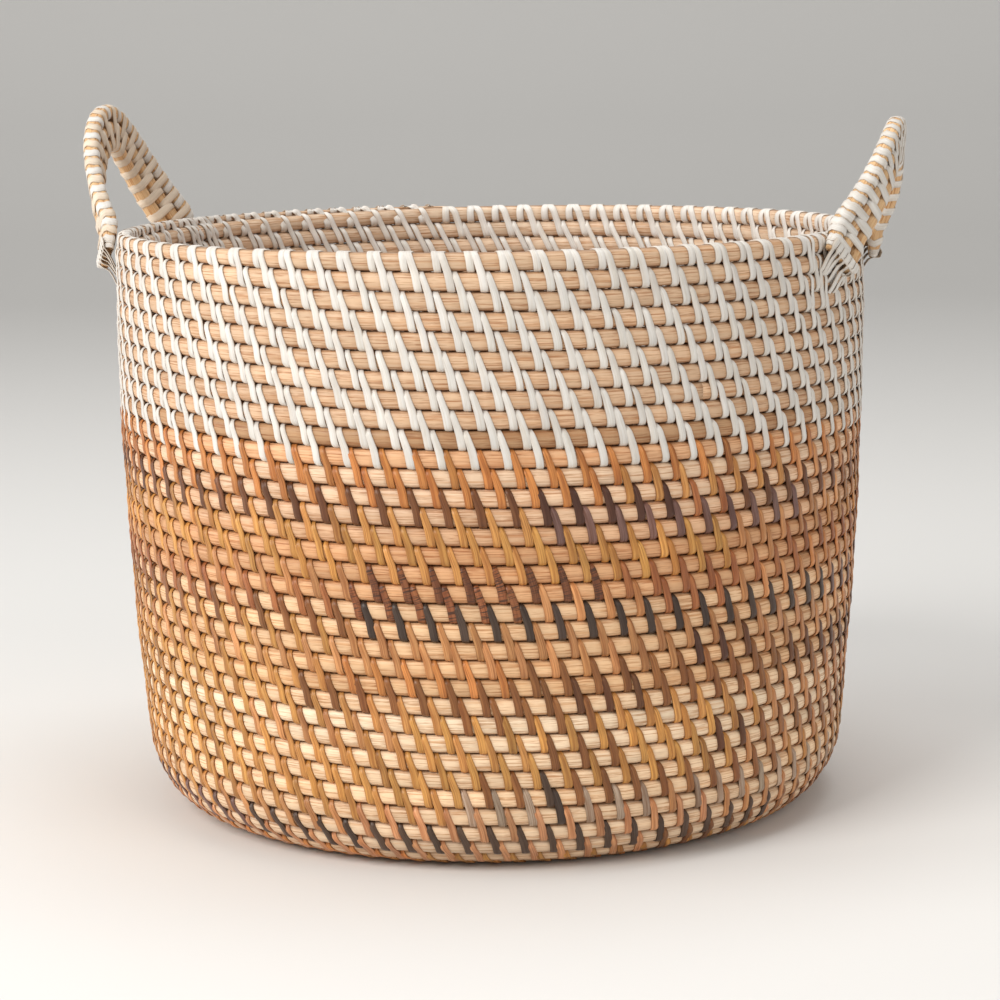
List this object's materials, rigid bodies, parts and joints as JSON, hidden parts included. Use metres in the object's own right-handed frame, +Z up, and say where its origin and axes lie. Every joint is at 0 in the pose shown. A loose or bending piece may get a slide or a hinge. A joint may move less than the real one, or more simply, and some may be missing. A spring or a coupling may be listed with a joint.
{
  "type": "wicker basket",
  "caption": "Round coiled rattan basket with a flat base, rounded foot, open top and two lashed loop handles.",
  "frame": {"origin": "centre of the base, on the floor the basket stands on", "axes": "+Z up out of the open top, +X towards the right handle and -X towards the left handle"},
  "size_m": [0.4476, 0.4008, 0.3756],
  "materials": {
    "pale_cane": "satin, natural rattan core",
    "honey_cane": "satin, honey-brown rattan core",
    "bleached_strip": "satin, bleached rattan peel",
    "brown_strip": "semi-gloss, natural to dark brown rattan peel"
  },
  "bodies": {
    "root": {"base_cane_01": "pale_cane", "base_cane_02": "pale_cane", "base_cane_03": "pale_cane", "base_centre_knot": "pale_cane", "foot_lashing_left_back": "bleached_strip", "foot_lashing_left_front": "bleached_strip", "foot_lashing_right_back": "bleached_strip", "foot_lashing_right_front": "bleached_strip", "handle_left_binding": "bleached_strip", "handle_left_inner_cane": "pale_cane", "handle_left_middle_cane": "pale_cane", "handle_left_outer_cane": "pale_cane", "handle_right_binding": "bleached_strip", "handle_right_inner_cane": "pale_cane", "handle_right_middle_cane": "pale_cane", "handle_right_outer_cane": "pale_cane", "rim_cane": "pale_cane", "wall_cane_01": "honey_cane", "wall_cane_02": "honey_cane", "wall_cane_03": "honey_cane", "wall_cane_04": "honey_cane", "wall_cane_05": "honey_cane", "wall_cane_06": "honey_cane", "wall_cane_07": "honey_cane", "wall_cane_08": "honey_cane"}
  },
  "joints": []
}
